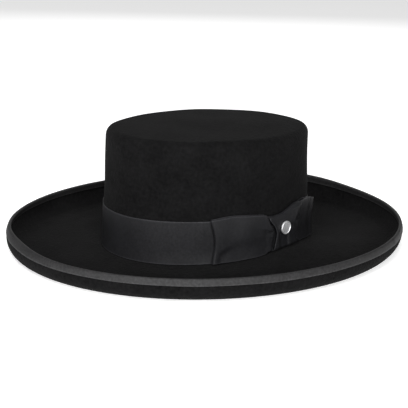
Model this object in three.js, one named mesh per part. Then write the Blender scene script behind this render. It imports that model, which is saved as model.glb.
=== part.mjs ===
// A flat-crowned felt hat with a wide brim whose edge is rolled up all round and bound with ribbon.
// A ribbon band with a flat bow runs round the crown, and a round metal pin sits on the bow's knot.
// Millimetres. The front is -Y, the wearer's left is +X, and +Z is up. The hat stands on Z = 0, on the lowest
// ring of its brim, and the origin is on that plane under the brim's centre.
import * as THREE from "three";

// Felt body
const feltThickness = 2;
const crownHalfWidth = 86; // side to side, where the crown meets the brim
const crownHalfLength = 102; // front to back, where the crown meets the brim
const crownHeight = 107.3; // from the brim's upper face to the rim of the flat top
const crownTaper = 1.65; // degrees that the crown's wall leans in
const shoulderRadius = 8.5; // rounding between the wall and the flat top
const topRise = 3.3; // how far the middle of the top stands above its rim
const breakRadius = 2.5; // rounding in the corner between the crown and the brim

// Brim
const brimHalfWidth = 171.6;
const brimHalfLength = 193.2;
const brimLift = 3.7; // height of the brim's upper face at the crown, over the plane the hat stands on
const brimDip = 1.1; // the brim at the crown is this much lower at the front and back, and higher at the sides
const sideRise = 6.3; // the brim at the crown stands this much higher again near the back of each side
const sideRiseAngle = 110; // degrees from the front to the middle of that rise
const sideRiseSpread = 31; // degrees to either side at which it has nearly faded
const footWidth = 5; // width of the flat ring that the hat stands on
const curlRadius = 14.1; // outer face of the rolled edge
const curlTurn = 115; // degrees that the rolled edge turns through, from flat past upright
const curlRake = 0.5; // the rolled edge is this much lower than its mean at the front, and higher at the back
const backLift = 4.3; // the rolled edge stands this much higher again near the back
const backLiftAngle = 203; // degrees from the front, through the wearer's left, to the middle of that lift
const backLiftSpread = 19; // degrees to either side at which the lift has nearly faded
const frontLean = 4.3; // the rolled edge's tip leans in this much more near the front
const frontLeanAngle = -8; // degrees from the front, towards the wearer's left, to the middle of that lean
const frontLeanSpread = 16; // degrees to either side at which it has nearly faded
const crownForward = 2.1; // how far the crown's centre is ahead of the brim's

// Ribbon
const ribbonThickness = 1;
const ribbonGap = 0.3; // clearance between a ribbon and what it lies on
const bindingDepth = 4; // how far the edge binding reaches down each face
const bandWidth = 38.2;
const bandLift = 0.6; // from the brim's upper face to the band's lower edge
const bandFlare = 1; // how far the band's lower edge stands out
const bandFlareShare = 0.35; // share of the band's width over which it stands out
const bandGather = 8.5; // how much narrower the band is where it is gathered behind the bow

// Bow
const bowAngle = 102; // degrees from the front to the bow's middle, towards the wearer's left
const frontLoopLength = 75; // from the bow's middle to the fold of the front loop
const rearLoopLength = 60;
const loopStand = 4.2; // how far a loop's outer face stands off the band
const loopClearance = 1.2; // from the bow's middle to the sewn ends of each loop
const gatherLead = 1.2; // a loop is fully gathered this far before it goes under the knot
const flattenRun = 11; // length over which a loop comes down to the knot
const narrowRun = 7; // length over which its edges draw together
const pleatDepth = 1.1; // the long soft fold in each loop
const pleatWidth = 6; // half the width of that fold
const pleatStart = 0.2; // its height at the loop's end, as a share of the loop's width
const pleatFinish = 0.45; // its height at the bow's middle, as a share of the loop's width
const foldHollow = 1.8; // how far the fold at a loop's end is drawn in at its middle
const hollowRun = 15; // length over which that hollow fades
const knotHalfWidth = 18.8; // half the width of the ribbon wrapped round the middle
const knotLow = 1.7; // height of the knot's lower edge over the brim
const knotHigh = 33.3; // height of the knot's upper edge at its front
const knotRake = 6.3; // how much higher that edge is at its rear
const knotRakeStart = -8; // from the bow's middle to where the edge starts to rise
const knotRakeEnd = 20; // from the bow's middle to where it has risen
const knotEase = 0.9; // room between the gathered loops and the knot's turned edges

// Pin
const pinRadius = 6;
const pinThickness = 1.5;
const pinRimWidth = 0.9;
const pinRimHeight = 0.45;
const pinBevel = 0.25;
const pinHeight = 20.2; // height of the pin's centre over the brim
const pinAhead = 2.3; // how far the pin is ahead of the bow's middle
const pinGap = 0.3;

// How finely the surfaces are divided
const aroundSteps = 60;
const curlSteps = 8;
const shoulderSteps = 4;
const plateSteps = 4;
const freeSteps = 9;
const heldSteps = 3;
const riseSteps = 5;
const knotSteps = 5;
const knotAcrossSteps = 6;
const pinSides = 28;

const radians = THREE.MathUtils.degToRad;
const { lerp, smoothstep } = THREE.MathUtils;

// Colours and finishes
const felt = new THREE.MeshStandardMaterial({ color: 0x171618, roughness: 0.95, metalness: 0 });
const grosgrain = new THREE.MeshStandardMaterial({ color: 0x2f2f33, roughness: 0.62, metalness: 0 });
const steel = new THREE.MeshStandardMaterial({ color: 0xa3a3a6, roughness: 0.35, metalness: 1 });

// A point on an oval of the given half width and half length, at an angle from the front. ahead is how far
// the oval's centre is in front of the brim's.
function onOval(angle, [halfWidth, halfLength, height, ahead = 0]) {
  return [halfWidth * Math.sin(angle), -halfLength * Math.cos(angle) - ahead, height];
}

// A smooth hump of height 1 round the hat: its middle and its spread are in degrees
function humpAt(angle, middle, spread) {
  const away = angle - radians(middle);
  return Math.exp(-((Math.atan2(Math.sin(away), Math.cos(away)) / radians(spread)) ** 2));
}

// Height of the brim's upper face where it meets the crown
function brimAt(angle) {
  const rise = humpAt(angle, sideRiseAngle, sideRiseSpread) + humpAt(angle, -sideRiseAngle, sideRiseSpread);
  return brimLift - brimDip * Math.cos(2 * angle) + sideRise * rise;
}

// How far the crown's wall has leaned in at a height over the brim
function leanAt(height) {
  return Math.tan(radians(crownTaper)) * height;
}

// The crown's oval at the brim, moved out all round
function crownOval(outward, height) {
  return [crownHalfWidth + outward, crownHalfLength + outward, height, crownForward];
}

// Triangles over a grid of points. Each row is a closed line, and closedRows joins the last row to the first.
// A row whose points coincide is a pole. caps closes open ends by a ladder across the row.
function gridGeometry(rows, { closedRows = false, caps = false } = {}) {
  const across = rows[0].length;
  const index = [];
  const at = (row, column) => (row % rows.length) * across + (column % across);
  const same = (a, b) => rows[Math.floor(a / across)][a % across].every(
    (value, axis) => Math.abs(value - rows[Math.floor(b / across)][b % across][axis]) < 1e-6);
  const triangle = (a, b, c) => {
    if (!same(a, b) && !same(b, c) && !same(c, a)) index.push(a, b, c);
  };
  const rowSpans = closedRows ? rows.length : rows.length - 1;
  for (let row = 0; row < rowSpans; row++) {
    for (let column = 0; column < across; column++) {
      const corner = [at(row, column), at(row, column + 1), at(row + 1, column + 1), at(row + 1, column)];
      triangle(corner[0], corner[2], corner[1]);
      triangle(corner[0], corner[3], corner[2]);
    }
  }
  if (caps) {
    for (let rung = 0; rung < across / 2 - 1; rung++) {
      const near = [rung, rung + 1, across - 2 - rung, across - 1 - rung].map((column) => at(0, column));
      triangle(near[0], near[1], near[2]);
      triangle(near[0], near[2], near[3]);
      const far = [rung, rung + 1, across - 2 - rung, across - 1 - rung].map((column) => at(rows.length - 1, column));
      triangle(far[0], far[2], far[1]);
      triangle(far[0], far[3], far[2]);
    }
  }
  const geometry = new THREE.BufferGeometry();
  geometry.setAttribute("position", new THREE.Float32BufferAttribute(rows.flat(2), 3));
  geometry.setIndex(index);
  geometry.computeVertexNormals();
  return geometry;
}

// Carries a section round the hat: sectionAt(angle) gives its points as the ovals that they run round
function roundTheHat(sectionAt, closedSection) {
  const lines = [];
  for (let step = 0; step < aroundSteps; step++) {
    const angle = (2 * Math.PI * step) / aroundSteps;
    lines.push(sectionAt(angle).map((oval) => onOval(angle, oval)));
  }
  const rows = lines[0].map((_, row) => lines.map((line) => line[row]));
  return gridGeometry(rows, { closedRows: closedSection });
}

// One face of the crown, from the middle of its top down to the brim. inset is 0 on the outer face and the
// felt's thickness on the inner one.
function crownFace(angle, inset) {
  const low = brimAt(angle);
  const rimDrop = leanAt(crownHeight) + shoulderRadius;
  const topHeight = brimLift + crownHeight;
  const points = [];
  for (const share of [0, 0.35, 0.65, 0.85]) {
    const height = topHeight + topRise * (1 - share * share) - inset;
    points.push([share * (crownHalfWidth - rimDrop), share * (crownHalfLength - rimDrop), height, crownForward]);
  }
  for (let step = 0; step <= shoulderSteps; step++) {
    const turn = radians(90 - (90 * step) / shoulderSteps);
    const outward = (shoulderRadius - inset) * Math.cos(turn) - rimDrop;
    const height = topHeight - shoulderRadius + (shoulderRadius - inset) * Math.sin(turn);
    points.push(crownOval(outward, height));
  }
  for (const share of [0.5, 0]) {
    const height = lerp(low + breakRadius, topHeight - shoulderRadius, share);
    const outward = -leanAt(height - low) - inset;
    points.push(crownOval(outward, height));
  }
  for (const turn of [30, 60, 90].map(radians)) {
    const outward = breakRadius - (breakRadius + inset) * Math.cos(turn);
    const height = low + breakRadius - (breakRadius + inset) * Math.sin(turn);
    points.push(crownOval(outward, height));
  }
  return points;
}

// One face of the brim's plate, from the crown's corner to the start of the rolled edge, flat over the foot
function plateFace(angle, inset) {
  const points = [];
  for (let step = 1; step <= plateSteps; step++) {
    const share = step / plateSteps;
    const height = lerp(brimAt(angle), feltThickness, smoothstep(share, 0, 1)) - inset;
    const halfWidth = lerp(crownHalfWidth + breakRadius, brimHalfWidth - curlRadius - footWidth, share);
    const halfLength = lerp(crownHalfLength + breakRadius, brimHalfLength - curlRadius - footWidth, share);
    points.push([halfWidth, halfLength, height, crownForward * (1 - share)]);
  }
  points.push([brimHalfWidth - curlRadius, brimHalfLength - curlRadius, feltThickness - inset]);
  return points;
}

// A point of the rolled edge: outward and up from the centre of its roll. The whole roll is stretched a
// little upwards towards the back of the hat, and its tip leans in at the front.
function onCurl(angle, outward, up) {
  const rise = curlRadius * (1 - Math.cos(radians(curlTurn)));
  const lift = backLift * humpAt(angle, backLiftAngle, backLiftSpread) - curlRake * Math.cos(angle);
  const stretch = 1 + lift / rise;
  const lean = frontLean * humpAt(angle, frontLeanAngle, frontLeanSpread) * ((curlRadius + up) / rise) ** 3;
  const inset = curlRadius - outward + lean;
  return [brimHalfWidth - inset, brimHalfLength - inset, stretch * (curlRadius + up)];
}

// A point at a turn from flat and a distance in from the outer face of the rolled edge
function atTurn(angle, turn, inset) {
  return onCurl(angle, (curlRadius - inset) * Math.sin(turn), -(curlRadius - inset) * Math.cos(turn));
}

function curlFace(angle, inset) {
  const points = [];
  for (let step = 1; step <= curlSteps; step++) {
    points.push(atTurn(angle, (radians(curlTurn) * step) / curlSteps, inset));
  }
  return points;
}

// Crown and brim are one piece of felt: down the outer face, over the edge and back up the inner one
function feltShell() {
  const sectionAt = (angle) => {
    const outer = [...crownFace(angle, 0), ...plateFace(angle, 0), ...curlFace(angle, feltThickness)];
    const inner = [...crownFace(angle, feltThickness), ...plateFace(angle, feltThickness), ...curlFace(angle, 0)];
    return [...outer, ...inner.reverse()];
  };
  const shell = new THREE.Mesh(roundTheHat(sectionAt, false), felt);
  shell.name = "felt_shell";
  return shell;
}

// The binding is a ribbon folded over the felt's cut edge. Its section runs up the outer face, over the edge
// and down the inner one, and back again at the ribbon's other face.
function brimBinding() {
  const endTurn = radians(curlTurn);
  const startTurn = endTurn - bindingDepth / curlRadius;
  const edgeReach = curlRadius - feltThickness / 2;
  const layer = (angle, clearance) => {
    const leg = (inset) => [0, 0.5, 1].map((share) => atTurn(angle, lerp(startTurn, endTurn, share), inset));
    const fold = [45, 90, 135].map(radians).map((swing) => {
      const reach = edgeReach + (feltThickness / 2 + clearance) * Math.cos(swing);
      const over = (feltThickness / 2 + clearance) * Math.sin(swing);
      const outward = reach * Math.sin(endTurn) + over * Math.cos(endTurn);
      return onCurl(angle, outward, over * Math.sin(endTurn) - reach * Math.cos(endTurn));
    });
    return [...leg(-clearance), ...fold, ...leg(feltThickness + clearance).reverse()];
  };
  const sectionAt = (angle) => [
    ...layer(angle, ribbonGap),
    ...layer(angle, ribbonGap + ribbonThickness).reverse(),
  ];
  const binding = new THREE.Mesh(roundTheHat(sectionAt, true), grosgrain);
  binding.name = "brim_binding";
  return binding;
}

// How far the band's inner face stands off the oval at the crown's foot, at a height over its lower edge
function bandOffset(height) {
  const flareShare = Math.max(0, 1 - height / (bandFlareShare * bandWidth));
  return ribbonGap + bandFlare * flareShare * flareShare - leanAt(bandLift + height);
}

function hatBand() {
  const shares = [0, bandFlareShare / 3, bandFlareShare, 1];
  const sectionAt = (angle) => {
    const width = bandWidth - bandGather * humpAt(angle, sideRiseAngle, sideRiseSpread);
    const face = (inset) => shares.map((share) => {
      const outward = bandOffset(share * bandWidth) + inset;
      const height = brimAt(angle) + bandLift + share * width;
      return crownOval(outward, height);
    });
    return [...face(0), ...face(ribbonThickness).reverse()];
  };
  const band = new THREE.Mesh(roundTheHat(sectionAt, true), grosgrain);
  band.name = "hat_band";
  return band;
}

// The angle that a run along the band's outer face reaches from the bow's middle, worked out in small steps
function angleAlong(run) {
  const steps = 40;
  let angle = radians(bowAngle);
  for (let step = 0; step < steps; step++) {
    const speed = Math.hypot(crownHalfWidth * Math.cos(angle), crownHalfLength * Math.sin(angle));
    angle += run / steps / speed;
  }
  return angle;
}

// A point over the band: a run along it from the bow's middle, a height over the brim and a distance out from
// the band's outer face
function overBand(run, height, out) {
  const angle = angleAlong(run);
  const outward = bandOffset(Math.max(0, height - bandLift)) + ribbonThickness + out;
  return onOval(angle, crownOval(outward, brimAt(angle) + height));
}

const layerPitch = ribbonThickness + ribbonGap;
const knotInnerOut = ribbonGap + ribbonThickness / 2; // middle of the knot's hidden layer
const knotOuterOut = knotInnerOut + 3 * layerPitch; // middle of the layer that shows

// Edges of each loop along its length. along is a share of the way from its fold to the knot, low and high
// are heights as shares of the band's width, and stand is a share of how far the loop stands off.
const frontLoopTable = [
  { along: 0, low: 0.045, high: 1.055, stand: 0.8 },
  { along: 0.33, low: 0.03, high: 1.085, stand: 1 },
  { along: 0.6, low: 0.03, high: 1.04, stand: 1 },
  { along: 0.83, low: 0.025, high: 0.975, stand: 0.95 },
  { along: 1, low: 0.045, high: 0.915, stand: 0.9 },
];
const rearLoopTable = [
  { along: 0, low: 0.1, high: 0.99, stand: 0.85 },
  { along: 0.14, low: 0.06, high: 1.01, stand: 0.95 },
  { along: 0.36, low: 0.04, high: 1.03, stand: 0.8 },
  { along: 0.6, low: 0.045, high: 1.045, stand: 0.75 },
  { along: 1, low: 0.04, high: 1, stand: 0.85 },
];

// Reads a column of a table between its rows, by straight lines
function fromTable(table, along, column) {
  const next = Math.max(1, table.findIndex((row) => row.along >= along));
  const [before, after] = [table[next - 1], table[next]];
  return lerp(before[column], after[column], (along - before.along) / (after.along - before.along));
}

// Height of the knot's upper edge at a run from its middle
function knotTop(run) {
  return knotHigh + knotRake * smoothstep(run, knotRakeStart, knotRakeEnd);
}

// A loop of the bow: one ribbon that leaves the knot against the band, folds back on itself and returns in
// front. side is -1 for the loop towards the front of the hat and 1 for the one towards the back.
function bowLoop(name, length, table, side) {
  const knotEdge = 1 - knotHalfWidth / length; // share of the length where the loop goes under the knot
  const gatherEnd = knotEdge - gatherLead / length;
  const sewn = 1 - loopClearance / length;
  const tableAt = (along, column) => fromTable(table, Math.min(1, along / knotEdge), column);
  const runAt = (along) => side * length * (1 - along);
  const underKnot = (along) => smoothstep(along, gatherEnd - flattenRun / length, gatherEnd);
  const backOut = (along) => knotInnerOut + layerPitch * underKnot(along);
  const frontOut = (along) => {
    const free = loopStand * tableAt(along, "stand") - ribbonThickness / 2;
    return lerp(free, knotInnerOut + 2 * layerPitch, underKnot(along));
  };
  const edgesAt = (along) => {
    const gathered = smoothstep(along, gatherEnd - narrowRun / length, gatherEnd);
    const margin = ribbonThickness + knotEase;
    const low = lerp(tableAt(along, "low") * bandWidth, knotLow + margin, gathered);
    const high = lerp(tableAt(along, "high") * bandWidth, knotTop(runAt(along)) - margin, gathered);
    return [low, high];
  };
  const foldRadius = (frontOut(0) - backOut(0)) / 2;
  const foldEnd = foldRadius / length;
  const stops = [];
  for (let step = 0; step <= freeSteps; step++) stops.push(lerp(foldEnd, gatherEnd, step / freeSteps));
  for (let step = 1; step <= heldSteps; step++) stops.push(lerp(gatherEnd, sewn, step / heldSteps));
  const stations = stops.map((along) => ({ along, out: backOut(along), pleat: 0 })).reverse();
  for (const swing of [45, 90, 135].map(radians)) {
    const along = foldEnd * (1 - Math.sin(swing));
    stations.push({ along, out: backOut(0) + foldRadius * (1 - Math.cos(swing)), pleat: 0 });
  }
  for (const along of stops) {
    stations.push({ along, out: frontOut(along), pleat: Math.sin(Math.PI * Math.min(1, along / knotEdge)) });
  }
  const rows = stations.map(({ along, out, pleat }, place) => {
    const before = stations[Math.max(0, place - 1)];
    const after = stations[Math.min(stations.length - 1, place + 1)];
    const way = new THREE.Vector2(runAt(after.along) - runAt(before.along), after.out - before.out).normalize();
    const [low, high] = edgesAt(along);
    const nearFold = 1 - smoothstep(along, 0, hollowRun / length);
    const face = (away) => {
      const points = [];
      for (let rise = 0; rise <= riseSteps; rise++) {
        const share = rise / riseSteps;
        const height = lerp(low, high, share);
        const fromPleat = (height - lerp(low, high, lerp(pleatStart, pleatFinish, along))) / pleatWidth;
        const dent = pleatDepth * pleat * Math.exp(-(fromPleat ** 2));
        const hollow = side * foldHollow * nearFold * Math.sin(Math.PI * share);
        const run = runAt(along) - hollow - way.y * away;
        points.push(overBand(run, height, out - dent + way.x * away));
      }
      return points;
    };
    const half = ribbonThickness / 2;
    return [...face(-side * half), ...face(side * half).reverse()];
  });
  const loop = new THREE.Mesh(gridGeometry(side < 0 ? rows : rows.reverse(), { caps: true }), grosgrain);
  loop.name = name;
  return loop;
}

// Half widths of the knot up its height, as shares of the ribbon's half width: it is drawn in at the middle
const knotTable = [
  { along: 0, half: 0.82 },
  { along: 0.25, half: 0.7 },
  { along: 0.5, half: 0.66 },
  { along: 0.75, half: 0.8 },
  { along: 1, half: 1.08 },
];

// The knot is a ribbon wrapped round the sewn ends of both loops, drawn in at its middle. Its section is a
// long loop: up the face that shows, over the upper edge, down against the band and under the lower edge.
function bowKnot() {
  const middle = (knotInnerOut + knotOuterOut) / 2;
  const radius = (knotOuterOut - knotInnerOut) / 2;
  const turnRoom = radius + ribbonThickness / 2; // from a turned edge to the centre of its turn
  const path = [];
  for (let step = 0; step <= knotSteps; step++) path.push({ share: step / knotSteps, swing: 0 });
  for (const swing of [45, 90, 135]) path.push({ share: 1, swing });
  for (const share of [1, 0.5, 0]) path.push({ share, swing: 180 });
  for (const swing of [225, 270, 315]) path.push({ share: 0, swing });
  const rows = path.map(({ share, swing }) => {
    const away = Math.cos(radians(swing));
    const lift = Math.sin(radians(swing));
    const half = knotHalfWidth * fromTable(knotTable, share, "half");
    const face = (reach) => {
      const points = [];
      for (let step = 0; step <= knotAcrossSteps; step++) {
        const run = half * ((2 * step) / knotAcrossSteps - 1);
        const height = lerp(knotLow + turnRoom, knotTop(run) - turnRoom, share) + lift * reach;
        points.push(overBand(run, height, middle + away * reach));
      }
      return points;
    };
    return [...face(radius - ribbonThickness / 2), ...face(radius + ribbonThickness / 2).reverse()];
  });
  const knot = new THREE.Mesh(gridGeometry(rows, { closedRows: true }), grosgrain);
  knot.name = "bow_knot";
  return knot;
}

// The pin is a round disc with a raised rim, flat against the knot
function bowPin() {
  const floor = pinThickness - pinRimHeight;
  const profile = [
    [0, 0],
    [pinRadius - pinBevel, 0],
    [pinRadius, pinBevel],
    [pinRadius, pinThickness - pinBevel],
    [pinRadius - pinBevel, pinThickness],
    [pinRadius - pinRimWidth, pinThickness],
    [pinRadius - pinRimWidth - pinBevel, floor],
    [0, floor],
  ].map(([radius, height]) => new THREE.Vector2(radius, height));
  const pin = new THREE.Mesh(new THREE.LatheGeometry(profile, pinSides), steel);
  pin.name = "bow_pin";
  const knotFace = knotOuterOut + ribbonThickness / 2;
  const seat = new THREE.Vector3(...overBand(-pinAhead, pinHeight, knotFace + pinGap));
  const ahead = new THREE.Vector3(...overBand(1 - pinAhead, pinHeight, knotFace + pinGap)).sub(seat);
  const above = new THREE.Vector3(...overBand(-pinAhead, pinHeight + 1, knotFace + pinGap)).sub(seat);
  const outward = ahead.cross(above).normalize();
  pin.position.copy(seat);
  pin.quaternion.setFromUnitVectors(new THREE.Vector3(0, 1, 0), outward);
  return pin;
}

const hat = new THREE.Group();
hat.name = "spanish_hat";
const bow = new THREE.Group();
bow.add(
  bowLoop("bow_front_loop", frontLoopLength, frontLoopTable, -1),
  bowLoop("bow_rear_loop", rearLoopLength, rearLoopTable, 1),
  bowKnot(),
  bowPin(),
);
hat.add(feltShell(), brimBinding(), hatBand(), bow);

export default hat;
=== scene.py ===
"""A flat-crowned felt hat with a rolled, ribbon-bound brim, a ribbon band, a flat bow and a round pin.

The shapes are worked out with numpy from the same sizes as the CAD part. They are in millimetres until
they become a mesh, which is in metres. The front of the hat is -Y, the wearer's left is +X and +Z is up.
An angle round the hat starts at the front and turns towards the wearer's left.
"""

import math

import bpy
import numpy as np
from mathutils import Matrix, Vector


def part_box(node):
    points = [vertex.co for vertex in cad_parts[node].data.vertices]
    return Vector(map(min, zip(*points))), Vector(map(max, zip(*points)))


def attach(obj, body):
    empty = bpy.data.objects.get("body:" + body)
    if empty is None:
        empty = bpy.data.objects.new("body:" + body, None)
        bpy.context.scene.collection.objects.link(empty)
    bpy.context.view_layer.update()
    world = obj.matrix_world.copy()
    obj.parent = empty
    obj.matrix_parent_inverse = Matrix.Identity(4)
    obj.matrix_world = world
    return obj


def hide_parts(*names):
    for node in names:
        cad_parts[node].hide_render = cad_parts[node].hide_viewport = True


bl_info = {
    "name": "Flat-crowned felt hat",
    "version": (1, 0, 0),
    "blender": (4, 5, 0),
    "location": "3D View > Sidebar > Hat",
    "description": "Dresses the hat's frame with felt, grosgrain ribbon and a round metal pin",
    "category": "Object",
}

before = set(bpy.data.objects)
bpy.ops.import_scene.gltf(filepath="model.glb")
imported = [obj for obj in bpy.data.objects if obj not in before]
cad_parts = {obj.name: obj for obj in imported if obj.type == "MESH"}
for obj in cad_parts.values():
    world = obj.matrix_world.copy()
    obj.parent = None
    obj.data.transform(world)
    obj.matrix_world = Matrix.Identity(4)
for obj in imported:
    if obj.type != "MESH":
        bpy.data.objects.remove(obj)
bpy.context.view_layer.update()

MM = 0.001
shell_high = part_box("felt_shell")[1]

# Felt, in millimetres as the CAD part has them
FELT = 2.0
CROWN_HEIGHT = 107.3
CROWN_TAPER = math.tan(math.radians(1.65))
SHOULDER = 8.5
TOP_RISE = 3.3
BREAK = 2.5
BRIM_LIFT = 3.7
BRIM_DIP = 1.1
SIDE_RISE = 6.3
SIDE_RISE_ANGLE = math.radians(110)
SIDE_RISE_SPREAD = math.radians(31)
FOOT = 5.0
CURL_TURN = math.radians(115)
CURL_RAKE = 0.5
BACK_LIFT = 4.3
BACK_LIFT_ANGLE = math.radians(203)
BACK_LIFT_SPREAD = math.radians(19)
FAR_LIFT = 1.9
FAR_LIFT_ANGLE = math.radians(233)
FRONT_LEAN = 4.3
FRONT_LEAN_ANGLE = math.radians(-8)
FRONT_LEAN_SPREAD = math.radians(16)
CROWN_FORWARD = 2.1

# Columns and rings of each form, and stops in a half turn of ribbon
FELT_COLUMNS = 360
RIBBON_COLUMNS = 540
PIN_COLUMNS = 72
TOP_RINGS = 20
SHOULDER_RINGS = 13
WALL_RINGS = 35
BREAK_RINGS = 7
PLATE_RINGS = 23
ROLL_RINGS = 25
TURN_STOPS = 13
BINDING_TURN_STOPS = 11

# Ribbon, its layers counted out from the crown's wall
RIBBON = 0.5
BAND_OUT = 0.6
BAND_LIFT = 0.6
BAND_FLARE = 1.0
BAND_FLARE_SHARE = 0.35
BAND_GATHER = 8.5
BINDING_CLEAR = 0.1
JOIN_ANGLE = math.radians(119.5)
JOIN_STEP = math.radians(0.25)
JOIN_FADE = math.radians(4)
JOIN_LIFT = 0.45
BOW_ANGLE = math.radians(102)
BOW_WIDTH = 38.2
LOOP_BACK_FREE = 1.5
LOOP_BACK_HELD = 1.95
LOOP_FRONT_FREE = 5.2
LOOP_FRONT_HELD = 2.5
LOOP_END = 1.2
GATHER_LEAD = 1.2
KNOT_HALF = 18.8
KNOT_LOW = 1.7
KNOT_HIGH = 33.3
KNOT_RAKE = 6.3
KNOT_INNER = 1.4
KNOT_OUTER = 6.15
KNOT_RAKE_REACH = (-8.0, 20.0)
PIN_AHEAD = 2.3
PIN_HEIGHT = 20.2
PIN_RADIUS = 6.0
PIN_THICK = 1.7
PIN_RIM = 1.0
PIN_SUNK = 0.5
PIN_FOOT = 0.3
PIN_DOME = 0.12
BEAD_RISE = 0.35

# A loop's forms. Lengths are in millimetres, and shares are of the way from its fold to the knot.
FOLD_SWELL = 0.9
FOLD_SWELL_REACH = 0.12
UNDER_SHARE = 0.075
NARROW_SHARE = 0.05
EDGE_MARGIN = 1.9
PLEAT_DEPTH = 0.6
PLEAT_AT_FOLD = (0.16, 0.16)
PUCKER = 0.35
PUCKER_REACH = (0.8, 0.98)
CREVICE = 0.7
CREVICE_LOW = (0.2, 0.25)
CREVICE_HIGH = (0.8, 0.14)
CREVICE_WAIST = (0.52, 0.08)
CREVICE_EDGE = 0.8
FOLD_HOLLOW = 3.0
FOLD_SLANT = 1.8
FOLD_REACH = 0.22

# The knot's forms, in millimetres. A pair is the two ends of an ease, or the middle and spread of a bell.
WAIST = (0.47, 0.3)
VALLEY = 1.5
VALLEY_TOP = (0.34, 0.56)
VALLEY_FRONT = (-10.5, -6.0)
VALLEY_REAR = (2.2, 3.4)
CREASE = 0.7
CREASE_UP = (0.5, 0.05)
CREASE_ALONG = (9.0, 5.0)
TUCK = 0.8
TUCK_ALONG = (1.0, 0.12)
WING = 1.7
WING_ALONG = (3.0, 17.0)
WING_UP = (0.4, 0.7)

# Edges of each loop of the bow. along is a share of the way from its fold to the knot, low and high are
# heights as shares of the ribbon's width, and stand is a share of how far the loop stands off.
FRONT_LOOP = {
    "along": [0.0, 0.12, 0.33, 0.6, 0.83, 1.0],
    "low": [0.045, 0.04, 0.03, 0.03, 0.025, 0.045],
    "high": [1.055, 1.07, 1.085, 1.04, 0.975, 0.915],
    "stand": [1.25, 1.16, 1.0, 1.0, 0.98, 0.95],
}
REAR_LOOP = {
    "along": [0.0, 0.1, 0.22, 0.4, 0.7, 1.0],
    "low": [0.1, 0.07, 0.05, 0.04, 0.045, 0.04],
    "high": [0.99, 1.0, 1.02, 1.035, 1.045, 1.0],
    "stand": [0.98, 0.96, 0.7, 0.6, 0.6, 0.75],
}

# The two loops. length is from the bow's middle to the fold, side is -1 towards the front of the hat and 1
# towards the back, pleat is a share of the fold's depth, and lean is how far the upper edge stands out.
LOOPS = [
    {"name": "front_loop", "node": "bow_front_loop", "edges": FRONT_LOOP, "length": 75.0, "side": -1,
     "pleat": 1.0, "lean": 0.0},
    {"name": "rear_loop", "node": "bow_rear_loop", "edges": REAR_LOOP, "length": 60.0, "side": 1,
     "pleat": 0.2, "lean": 1.3},
]

# Half widths of the knot up its height, as shares of its ribbon's half width
KNOT = {
    "along": [0.0, 0.25, 0.5, 0.75, 1.0],
    "half": [0.82, 0.70, 0.66, 0.80, 1.08],
}

# Soft hollows in the crown's flat top: where they are, how wide and long they spread, and their depth
TOP_DENTS = [
    (20.0, -30.0, 26.0, 16.0, 0.9),
    (-25.0, 18.0, 22.0, 30.0, 0.7),
    (30.0, 45.0, 20.0, 22.0, -0.6),
]

# Long waves, summed from cosines: how deep they are, the seed, how many cosines, and the most turns of one
WAVES = {
    "top": (0.35, 5, 5, 2),
    "wall": (0.4, 11, 7, 5),
    "brim": (0.5, 17, 5, 4),
    "binding": (0.12, 23, 6, 23),
    "band": (0.16, 31, 6, 9),
    "band_edge": (0.12, 37, 4, 7),
    "front_loop": (0.3, 40, 4, 2),
    "rear_loop": (0.3, 42, 4, 2),
}

# Where the felt's waves come in and fade: heights, and shares of the way from the centre to the brim's edge
TOP_WAVE_SPAN = 30.0
WALL_WAVE_SPAN = 40.0
BRIM_WAVE_TURNS = 6.0
WALL_WAVES_FROM = (46.0, 66.0)
BRIM_WAVES_FROM = (0.58, 0.68)
BRIM_WAVES_TO = (0.78, 0.88)
BRIM_WAVES_UNDER = (5.0, 8.0)

# Ribbon materials, with how strong their gloss, their lighter selvedges with a painted highlight along
# them, and their specks are
RIBBONS = {
    "Edge grosgrain": {"ribs": 1050.0, "roughness": 0.6, "gloss": 0.2, "selvedge_and_highlight": 0.5, "specks": 2.4},
    "Band grosgrain": {"ribs": 900.0, "roughness": 0.44, "gloss": 0.13, "selvedge_and_highlight": 0.9, "specks": 1.2},
    "Bow grosgrain": {"ribs": 900.0, "roughness": 0.42, "gloss": 0.16, "selvedge_and_highlight": 0.6, "specks": 1.0},
}

# Floor, lights and camera. Lengths are in metres, and the camera is as fitted to the photo.
FLOOR_HALF = 8.0
FLOOR_DROP = 0.0003
LIGHTS_AIM = 0.05
CAMERA_ROLL = math.radians(1.28)
CAMERA_DISTANCE = 0.975
PIXELS_PER_MM = 1.0655
PICTURE_WIDTH = 408
SENSOR_WIDTH = 36.0
AIM_HEIGHT = 0.060
AIM_LEFT = 0.00427
AIM_DOWN = 0.0288


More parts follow.
